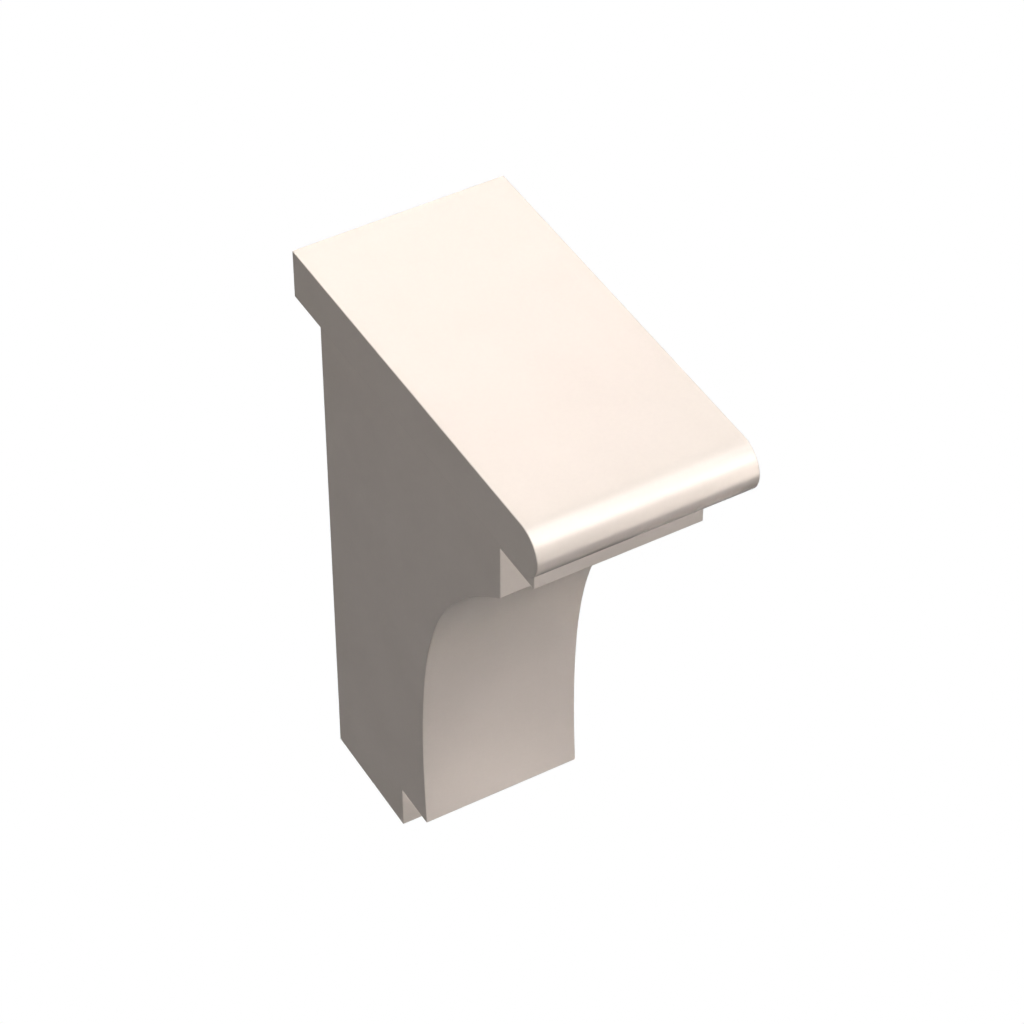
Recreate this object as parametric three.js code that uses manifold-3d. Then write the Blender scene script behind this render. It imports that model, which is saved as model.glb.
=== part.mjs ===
// A decorative corbel: a plain wall bracket, cast in one piece, that carries a shelf or a beam.
//
// A flat slab with a half-round front edge lies on a narrower body and overhangs it on both
// sides and at the front. Seen from the side, the body has an upper band under the slab, a lower
// band stepped back from it, and a long hollow cove that sweeps down to a toe near the wall.
// Under the toe, a shorter heel runs down to the foot. The back is flat, against the wall.
//
// Millimetres. +X runs along the wall, +Z is up, and the front faces -Y. The wall is the plane
// Y = 0, and the origin is the middle of the back, halfway up.

import * as THREE from 'three';
import { mergeVertices } from 'three/addons/utils/BufferGeometryUtils.js';
import Module from 'manifold-3d';

const wasm = await Module();
wasm.setup();

// Overall height, foot to top. The corbel is 4 inches wide, 8 deep and 12 high.
const corbelHeight = 304.8;

// Slab
const slabWidth = 101.6;
const slabDepth = 203.2;
const slabThickness = 24.8;

// How far the slab overhangs the body
const sideOverhang = 11.3;
const frontOverhang = 21.7;

// Bands under the slab
const upperBandHeight = 23.9;
const lowerBandHeight = 28.3;
const lowerBandSetback = 27.1;

// Toe and heel, at the cove's lower end
const toeDepth = 86;
const heelHeight = 23.8;
const heelSetback = 23.3;

// Cove: the angles of its two ends, and how strongly each end holds its direction, as a share of
// the cove's drop
const coveTopSlope = THREE.MathUtils.degToRad(37.5);
const coveToeLean = THREE.MathUtils.degToRad(4.1);
const coveTopPull = 0.31;
const coveToePull = 0.645;

// Straight facets along each curve
const coveSegments = 56;
const noseSegments = 28;

// Corners closer together than this are one corner
const weldDistance = 1e-4;

// Finish: smooth plaster with a warm off-white satin paint
const plasterPaint = new THREE.MeshStandardMaterial({
  color: 0xe8dbd1,
  roughness: 0.45,
  metalness: 0,
});

const topZ = corbelHeight / 2;
const footZ = -corbelHeight / 2;
const slabUndersideZ = topZ - slabThickness;

// Turns an outline drawn in (distance from the wall, height) into a solid of the given width,
// centred on X = 0.
function extrudeAlongWall(outline, width, curveSegments) {
  const geometry = new THREE.ExtrudeGeometry(outline, {
    depth: width,
    bevelEnabled: false,
    curveSegments,
  });
  geometry.translate(0, 0, -width / 2);
  const towardsFront = new THREE.Vector3(0, -1, 0);
  const up = new THREE.Vector3(0, 0, 1);
  const alongWall = new THREE.Vector3(-1, 0, 0);
  geometry.applyMatrix4(new THREE.Matrix4().makeBasis(towardsFront, up, alongWall));
  return geometry;
}

// Slab: square at the wall, half-round at the front.
function slabGeometry() {
  const noseRadius = slabThickness / 2;
  const noseCentreDepth = slabDepth - noseRadius;
  const outline = new THREE.Shape();
  outline.moveTo(0, slabUndersideZ);
  outline.lineTo(noseCentreDepth, slabUndersideZ);
  outline.absarc(noseCentreDepth, topZ - noseRadius, noseRadius, -Math.PI / 2, Math.PI / 2, false);
  outline.lineTo(0, topZ);
  outline.closePath();
  return extrudeAlongWall(outline, slabWidth, noseSegments);
}

// Body: one outline for its full width, run up to the middle of the slab so that they are one.
function bodyGeometry() {
  const upperBandDepth = slabDepth - frontOverhang;
  const lowerBandDepth = upperBandDepth - lowerBandSetback;
  const upperBandUndersideZ = slabUndersideZ - upperBandHeight;
  const coveTopZ = upperBandUndersideZ - lowerBandHeight;
  const toeZ = footZ + heelHeight;
  const heelDepth = toeDepth - heelSetback;
  const coveDrop = coveTopZ - toeZ;
  const topPull = coveTopPull * coveDrop;
  const toePull = coveToePull * coveDrop;
  const insideSlabZ = slabUndersideZ + slabThickness / 2;

  const outline = new THREE.Shape();
  outline.moveTo(0, footZ);
  outline.lineTo(heelDepth, footZ);
  outline.lineTo(heelDepth, toeZ);
  outline.lineTo(toeDepth, toeZ);
  outline.bezierCurveTo(
    toeDepth - toePull * Math.sin(coveToeLean), toeZ + toePull * Math.cos(coveToeLean),
    lowerBandDepth - topPull * Math.cos(coveTopSlope), coveTopZ - topPull * Math.sin(coveTopSlope),
    lowerBandDepth, coveTopZ,
  );
  outline.lineTo(lowerBandDepth, upperBandUndersideZ);
  outline.lineTo(upperBandDepth, upperBandUndersideZ);
  outline.lineTo(upperBandDepth, insideSlabZ);
  outline.lineTo(0, insideSlabZ);
  outline.closePath();
  return extrudeAlongWall(outline, slabWidth - 2 * sideOverhang, coveSegments);
}

// A closed geometry as a solid that can be joined.
function toSolid(geometry) {
  const bare = geometry.clone();
  bare.deleteAttribute('normal');
  bare.deleteAttribute('uv');
  const merged = mergeVertices(bare, weldDistance);
  return new wasm.Manifold(new wasm.Mesh({
    numProp: 3,
    vertProperties: new Float32Array(merged.attributes.position.array),
    triVerts: new Uint32Array(merged.index.array),
  }));
}

// A solid as a geometry, with flat faces.
function toGeometry(solid) {
  const mesh = solid.getMesh();
  const indexed = new THREE.BufferGeometry();
  indexed.setAttribute('position', new THREE.BufferAttribute(mesh.vertProperties, 3));
  indexed.setIndex(new THREE.BufferAttribute(mesh.triVerts, 1));
  const geometry = indexed.toNonIndexed();
  geometry.computeVertexNormals();
  return geometry;
}

const casting = toSolid(slabGeometry()).add(toSolid(bodyGeometry()));

const corbel = new THREE.Mesh(toGeometry(casting), plasterPaint);
corbel.name = 'corbel';

const group = new THREE.Group();
group.add(corbel);

export default group;
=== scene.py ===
# The looks of a decorative corbel: a wall bracket cast in one piece and painted a warm off-white.
#
# Metres, in the frame of the CAD model: +Z is up, the front faces -Y, the wall is the plane Y = 0,
# and the origin is the middle of the back, halfway up.

import math

import bmesh
import bpy
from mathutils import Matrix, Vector


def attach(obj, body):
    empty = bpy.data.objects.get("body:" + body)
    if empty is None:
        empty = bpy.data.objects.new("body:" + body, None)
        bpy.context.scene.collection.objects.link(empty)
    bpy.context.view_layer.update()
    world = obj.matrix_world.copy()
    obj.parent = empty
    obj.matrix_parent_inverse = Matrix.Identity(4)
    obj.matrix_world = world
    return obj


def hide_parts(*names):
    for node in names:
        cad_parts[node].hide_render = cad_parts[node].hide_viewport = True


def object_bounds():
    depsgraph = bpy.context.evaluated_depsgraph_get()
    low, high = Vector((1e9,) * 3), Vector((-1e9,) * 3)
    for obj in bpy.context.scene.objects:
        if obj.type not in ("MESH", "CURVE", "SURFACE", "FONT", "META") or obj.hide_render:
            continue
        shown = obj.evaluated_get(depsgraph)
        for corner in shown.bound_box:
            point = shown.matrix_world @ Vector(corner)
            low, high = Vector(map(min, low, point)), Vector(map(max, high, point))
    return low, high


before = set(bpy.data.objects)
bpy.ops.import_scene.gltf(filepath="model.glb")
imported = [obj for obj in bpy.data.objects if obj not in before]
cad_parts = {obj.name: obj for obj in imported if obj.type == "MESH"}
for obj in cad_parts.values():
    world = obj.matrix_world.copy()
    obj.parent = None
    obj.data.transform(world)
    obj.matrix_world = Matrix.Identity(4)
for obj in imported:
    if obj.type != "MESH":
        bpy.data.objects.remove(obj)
cad_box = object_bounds()

# The casting. Faces that meet at less than FLAT_ANGLE are one flat face, and edges sharper than
# ARRIS_ANGLE are arrises, which are softened to a round profile.
MERGE_DISTANCE = 1e-6
FLAT_ANGLE = math.radians(0.4)
ARRIS_ANGLE = math.radians(30)
ARRIS_RADIUS = 0.0004
ARRIS_SEGMENTS = 3
ROUND_PROFILE = 0.5

# How strongly the largest faces decide the shading at a corner: 50 is neutral, 100 is the most
FLAT_FACE_WEIGHT = 100

# Paint, in linear colour
PAINT = (0.80, 0.7129, 0.6446)
PAINT_ROUGHNESS = 0.231
PAINT_IOR = 1.5

# Noise patterns on the paint: how often they repeat in a metre, and how many finer layers they have
MOTTLE = dict(scale=26, detail=4)
SKIN = dict(scale=620, detail=3)
WAVES = dict(scale=55, detail=1)

# Noise mostly lies between these two values. Across them the tone and the roughness move this far
# either way.
NOISE_LOW = 0.3
NOISE_HIGH = 0.7
MOTTLE_TONE = 0.015
SKIN_TONE = 0.008
MOTTLE_ROUGHNESS = 0.03

# Pits, one to a cell: how many cells to a metre, and the radius of a pit's bottom and rim in cells
PIT_SCALE = 95
PIT_BOTTOM = 0.02
PIT_RIM = 0.06

# Bumps, whose distance is the height of a full step
WAVE_BUMP = {"Strength": 0.25, "Distance": 0.0002}
SKIN_BUMP = {"Strength": 0.2, "Distance": 0.00004}
PIT_BUMP = {"Strength": 0.4, "Distance": 0.0001}

# The camera that took the photograph, worked out from the corbel's edges in it
CAMERA_AZIMUTH = math.radians(-29.94)
CAMERA_ELEVATION = math.radians(43.534)
CAMERA_TARGET = Vector((0.02979, -0.04387, 0.0))
CAMERA_DISTANCE = 1.5961
CAMERA_LENS = 125.58
CAMERA_SENSOR = 36.0

# The floor lies as far below the corbel as it does in a room
FLOOR_DEPTH = 1.6
FLOOR_SIZE = 30.0

# Soft studio light: a tent of six glowing panels round the corbel, and seven lamps. A glow of 1 is
# as bright as white in the picture, and angles are in degrees. None of the light casts shadows,
# because the photograph shows none.
WHITE = (1.0, 1.0, 1.0)
WARM = (1.0, 0.843, 0.728)
TENT_HALF = 6.0
TENT = {
    "tent_top": dict(azimuth=0, elevation=90, glow=0.22),
    "tent_bottom": dict(azimuth=0, elevation=-90, glow=0.11),
    "tent_front": dict(azimuth=0, elevation=0, glow=0.02),
    "tent_back": dict(azimuth=180, elevation=0, glow=0.08),
    "tent_left": dict(azimuth=-90, elevation=0, glow=0.395),
    "tent_right": dict(azimuth=90, elevation=0, glow=0.15),
}

# The key and the overhead light the paint, and the key gives the white line along the slab's front
# edge. The lamps marked gloss_only show in the paint's gloss alone: the strip on the slab's front
# edge, the low box in the cove, the toe box at the cove's lower end, the nose box under the slab's
# front edge, and the back softbox on the slab's top.
LAMPS = {
    "key": dict(
        azimuth=33.7, elevation=43.6, distance=6.0, width=1.476, height=4.27, glow=8.83,
    ),
    "overhead": dict(
        azimuth=40.1, elevation=79.3, distance=6.0, width=3.67, height=3.67, glow=5.74,
    ),
    "strip": dict(
        azimuth=27.3, elevation=3.6, distance=6.0, width=0.575, height=8.38, glow=16.5,
        colour=WARM, gloss_only=True,
    ),
    "low_box": dict(
        azimuth=41.2, elevation=-59.05, distance=1.13, width=0.766, height=0.728, glow=0.934,
        colour=WARM, gloss_only=True,
    ),
    "toe_box": dict(
        azimuth=22.0, elevation=-42.5, distance=1.06, width=0.073, height=0.040, glow=18.4,
        colour=WARM, gloss_only=True,
    ),
    "nose_box": dict(
        azimuth=57.3, elevation=-26.5, distance=0.20, width=0.40, height=0.15, glow=0.52,
        colour=WARM, gloss_only=True,
    ),
    "back_softbox": dict(
        azimuth=167.9, elevation=35.4, distance=3.0, width=1.97, height=1.475, glow=4.29,
        colour=WARM, gloss_only=True,
    ),
}


def direction(azimuth, elevation):
    """The unit vector from the origin towards this azimuth and elevation, in radians."""
    return Vector((
        math.sin(azimuth) * math.cos(elevation),
        -math.cos(azimuth) * math.cos(elevation),
        math.sin(elevation),
    ))


def facing(towards):
    """The rotation that turns a camera or lamp at the end of this vector to look back along it."""
    return (-towards).to_track_quat("-Z", "Y").to_euler()


def add_object(name, data):
    made = bpy.data.objects.new(name, data)
    bpy.context.scene.collection.objects.link(made)
    return made


class Nodes:
    """A short way to build a node tree: add a node, set its values, and link sockets into it."""

    def __init__(self, tree):
        self.tree = tree
        tree.nodes.clear()

    def add(self, kind, inputs=(), **settings):
        node = self.tree.nodes.new(kind)
        for name, value in settings.items():
            setattr(node, name, value)
        for name, value in dict(inputs).items():
            if isinstance(value, bpy.types.NodeSocket):
                self.tree.links.new(value, node.inputs[name])
            else:
                node.inputs[name].default_value = value
        return node


def paint_material():
    """Satin paint on smooth cast plaster: faintly mottled, with a fine skin and few soft pits."""
    material = bpy.data.materials.new("painted_plaster")
    material.use_nodes = True
    nodes = Nodes(material.node_tree)
    place = nodes.add("ShaderNodeTexCoord").outputs["Object"]

    def noise(scale, detail):
        return nodes.add(
            "ShaderNodeTexNoise", {"Vector": place, "Scale": scale, "Detail": detail},
        ).outputs["Fac"]

    def remap(value, low, high, to_low, to_high):
        return nodes.add(
            "ShaderNodeMapRange",
            {"Value": value, "From Min": low, "From Max": high, "To Min": to_low, "To Max": to_high},
        ).outputs["Result"]

    def around(middle, spread, pattern):
        return remap(pattern, NOISE_LOW, NOISE_HIGH, middle - spread, middle + spread)

    mottle = noise(**MOTTLE)
    skin = noise(**SKIN)

    # Colour: the paint a little thicker here and thinner there
    tone = nodes.add(
        "ShaderNodeMath",
        {0: around(1, MOTTLE_TONE, mottle), 1: around(1, SKIN_TONE, skin)},
        operation="MULTIPLY",
    ).outputs[0]
    colour = nodes.add(
        "ShaderNodeVectorMath", {0: PAINT, "Scale": tone}, operation="SCALE",
    ).outputs[0]

    # Roughness: satin, a little duller where the tone is lighter
    roughness = around(PAINT_ROUGHNESS, MOTTLE_ROUGHNESS, mottle)

    # Bump: slow unevenness of the cast, the paint's fine skin, and a soft pit in each cell
    waves = nodes.add("ShaderNodeBump", {"Height": noise(**WAVES), **WAVE_BUMP})
    peel = nodes.add("ShaderNodeBump", {"Height": skin, "Normal": waves.outputs[0], **SKIN_BUMP})
    cells = nodes.add("ShaderNodeTexVoronoi", {"Vector": place, "Scale": PIT_SCALE})
    pit = remap(cells.outputs["Distance"], PIT_BOTTOM, PIT_RIM, 0, 1)
    pits = nodes.add("ShaderNodeBump", {"Height": pit, "Normal": peel.outputs[0], **PIT_BUMP})

    shader = nodes.add("ShaderNodeBsdfPrincipled", {
        "Base Color": colour,
        "Roughness": roughness,
        "Normal": pits.outputs[0],
        "IOR": PAINT_IOR,
    })
    nodes.add("ShaderNodeOutputMaterial", {"Surface": shader.outputs[0]})
    return material


def corbel_piece(node_name):
    """The casting's own surface, from its CAD solid: true flats and curves, with softened arrises."""
    shape = bmesh.new()
    shape.from_mesh(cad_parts[node_name].data)
    bmesh.ops.remove_doubles(shape, verts=shape.verts, dist=MERGE_DISTANCE)
    bmesh.ops.dissolve_limit(shape, angle_limit=FLAT_ANGLE, verts=shape.verts, edges=shape.edges)
    arrises = [edge for edge in shape.edges if edge.calc_face_angle(0) > ARRIS_ANGLE]
    bmesh.ops.bevel(
        shape, geom=arrises, offset=ARRIS_RADIUS, offset_type="OFFSET",
        segments=ARRIS_SEGMENTS, profile=ROUND_PROFILE, affect="EDGES", clamp_overlap=True,
    )
    for face in shape.faces:
        face.smooth = True
    mesh = bpy.data.meshes.new("corbel_casting")
    shape.to_mesh(mesh)
    shape.free()
    piece = add_object("corbel_casting", mesh)
    weighted = piece.modifiers.new("flat_faces_stay_flat", "WEIGHTED_NORMAL")
    weighted.mode = "FACE_AREA"
    weighted.weight = FLAT_FACE_WEIGHT
    return piece


def make_corbel():
    piece = corbel_piece("corbel")
    piece.data.materials.append(paint_material())
    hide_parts("corbel")
    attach(piece, "root")


def make_floor():
    """A plain white floor that glows evenly. It shows no lamp and no shadow, and lights nothing."""
    half = FLOOR_SIZE / 2
    height = cad_box[0].z - FLOOR_DEPTH
    square = ((-half, -half), (half, -half), (half, half), (-half, half))
    corners = [(x, y, height) for x, y in square]
    mesh = bpy.data.meshes.new("floor")
    mesh.from_pydata(corners, [], [(0, 1, 2, 3)])
    floor = add_object("floor", mesh)
    material = bpy.data.materials.new("floor")
    material.use_nodes = True
    nodes = Nodes(material.node_tree)
    glow = nodes.add("ShaderNodeEmission", {"Color": (*WHITE, 1), "Strength": 1})
    nodes.add("ShaderNodeOutputMaterial", {"Surface": glow.outputs[0]})
    mesh.materials.append(material)
    floor.visible_diffuse = False
    floor.visible_glossy = False
    floor.visible_shadow = False


def make_world():
    """White behind everything, and no light of its own."""
    world = bpy.data.worlds.new("studio")
    bpy.context.scene.world = world
    world.use_nodes = True
    nodes = Nodes(world.node_tree)
    seen = nodes.add("ShaderNodeLightPath").outputs["Is Camera Ray"]
    white = nodes.add("ShaderNodeBackground", {"Color": (*WHITE, 1), "Strength": seen})
    nodes.add("ShaderNodeOutputWorld", {"Surface": white.outputs[0]})


def make_lamp(
    name, azimuth, elevation, distance, width, height, glow, colour=WHITE, gloss_only=False,
):
    """A flat softbox that glows evenly, this far from the origin and square to it."""
    lamp = bpy.data.lights.new(name, "AREA")
    lamp.shape = "RECTANGLE"
    lamp.size = width
    lamp.size_y = height
    lamp.energy = glow * math.pi * width * height
    lamp.color = colour
    lamp.use_shadow = False
    lamp.cycles.use_multiple_importance_sampling = False
    placed = add_object(name, lamp)
    towards = direction(math.radians(azimuth), math.radians(elevation))
    placed.location = towards * distance
    placed.rotation_euler = facing(towards)
    placed.visible_camera = False
    placed.visible_diffuse = not gloss_only


def make_studio():
    for name, facts in TENT.items():
        make_lamp(name, distance=TENT_HALF, width=2 * TENT_HALF, height=2 * TENT_HALF, **facts)
    for name, facts in LAMPS.items():
        make_lamp(name, **facts)


def make_camera():
    data = bpy.data.cameras.new("camera")
    data.lens = CAMERA_LENS
    data.sensor_width = CAMERA_SENSOR
    camera = add_object("camera", data)
    towards = direction(CAMERA_AZIMUTH, CAMERA_ELEVATION)
    camera.location = CAMERA_TARGET + towards * CAMERA_DISTANCE
    camera.rotation_euler = facing(towards)
    bpy.context.scene.camera = camera


make_corbel()
make_floor()
make_world()
make_studio()
make_camera()
bpy.context.scene.view_settings.view_transform = "Standard"
